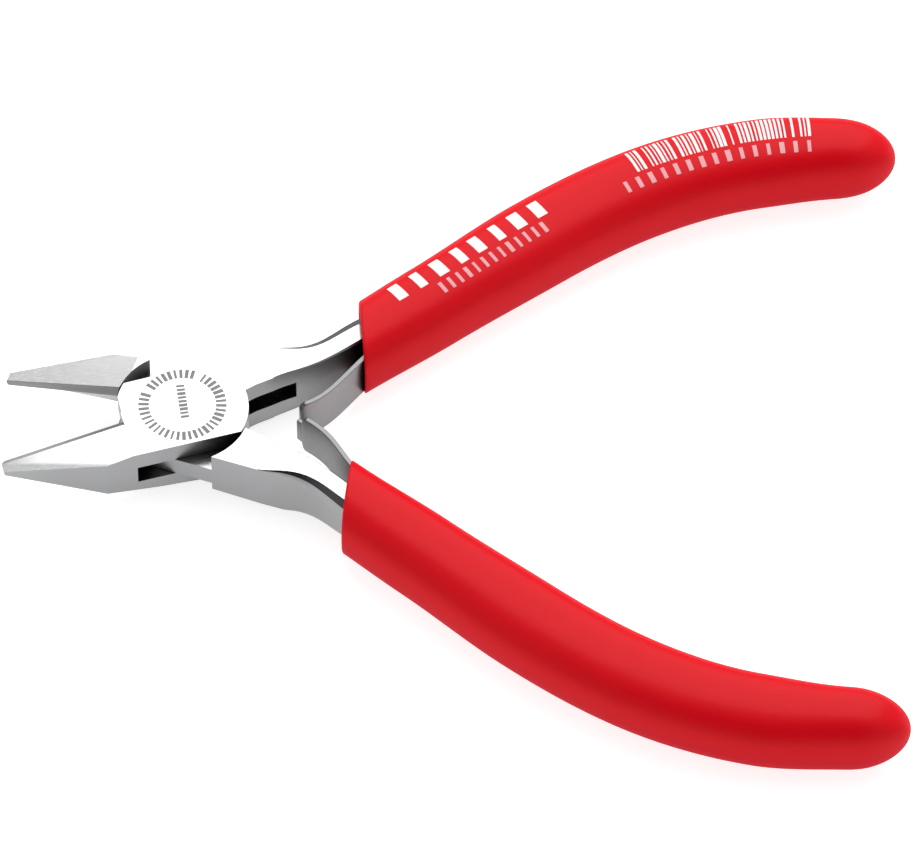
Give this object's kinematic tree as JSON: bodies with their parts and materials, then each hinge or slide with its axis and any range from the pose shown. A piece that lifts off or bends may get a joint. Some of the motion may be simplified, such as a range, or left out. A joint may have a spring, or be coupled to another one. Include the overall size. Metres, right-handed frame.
{
  "type": "diagonal cutting pliers",
  "caption": "Miniature diagonal cutters with a box joint, pointed bevelled jaws, two bowed leaf springs and dipped sleeve grips, standing open",
  "frame": {"origin": "on the pivot's axis, in the joint's back face, with the pliers open as their springs hold them", "axes": "+X along the centreline from the pivot to the handles, +Y towards the upper handle, +Z out of the joint's front face, along the pivot"},
  "size_m": [0.1025, 0.0896, 0.0088],
  "materials": {
    "tool_steel": "ground and polished",
    "spring_steel": "satin spring strip",
    "grip_vinyl": "smooth semi-gloss dipped vinyl"
  },
  "bodies": {
    "outer": {"outer_half": "tool_steel", "pivot_rivet": "tool_steel", "upper_grip": "grip_vinyl", "upper_spring_tail": "spring_steel", "upper_spring_rivet": "spring_steel"},
    "inner": {"inner_half": "tool_steel", "lower_grip": "grip_vinyl", "lower_spring_tail": "spring_steel", "lower_spring_rivet": "spring_steel"},
    "upper_blade": {"upper_spring_blade": "spring_steel"},
    "lower_blade": {"lower_spring_blade": "spring_steel"}
  },
  "joints": [
    {"name": "pivot", "type": "hinge", "parent": "outer", "child": "inner", "pos_m": [0, 0, 0], "axis": [0, 0, 1], "range_deg": [-4, 29.6], "stiffness_Nm_per_rad": 0.3},
    {"name": "upper_spring_flex", "type": "hinge", "parent": "outer", "child": "upper_blade", "pos_m": [0.02276, 0.01093, 0.0037], "axis": [0, 0, 1], "range_deg": [-13.8, 2]},
    {"name": "lower_spring_flex", "type": "hinge", "parent": "inner", "child": "lower_blade", "pos_m": [0.02275, -0.01094, 0.0037], "axis": [0, 0, 1], "range_deg": [-2.2, 15.9]}
  ],
  "couplings": [
    {"joint": "upper_spring_flex", "follows": "pivot", "ratio": -0.46},
    {"joint": "lower_spring_flex", "follows": "pivot", "ratio": 0.53}
  ]
}
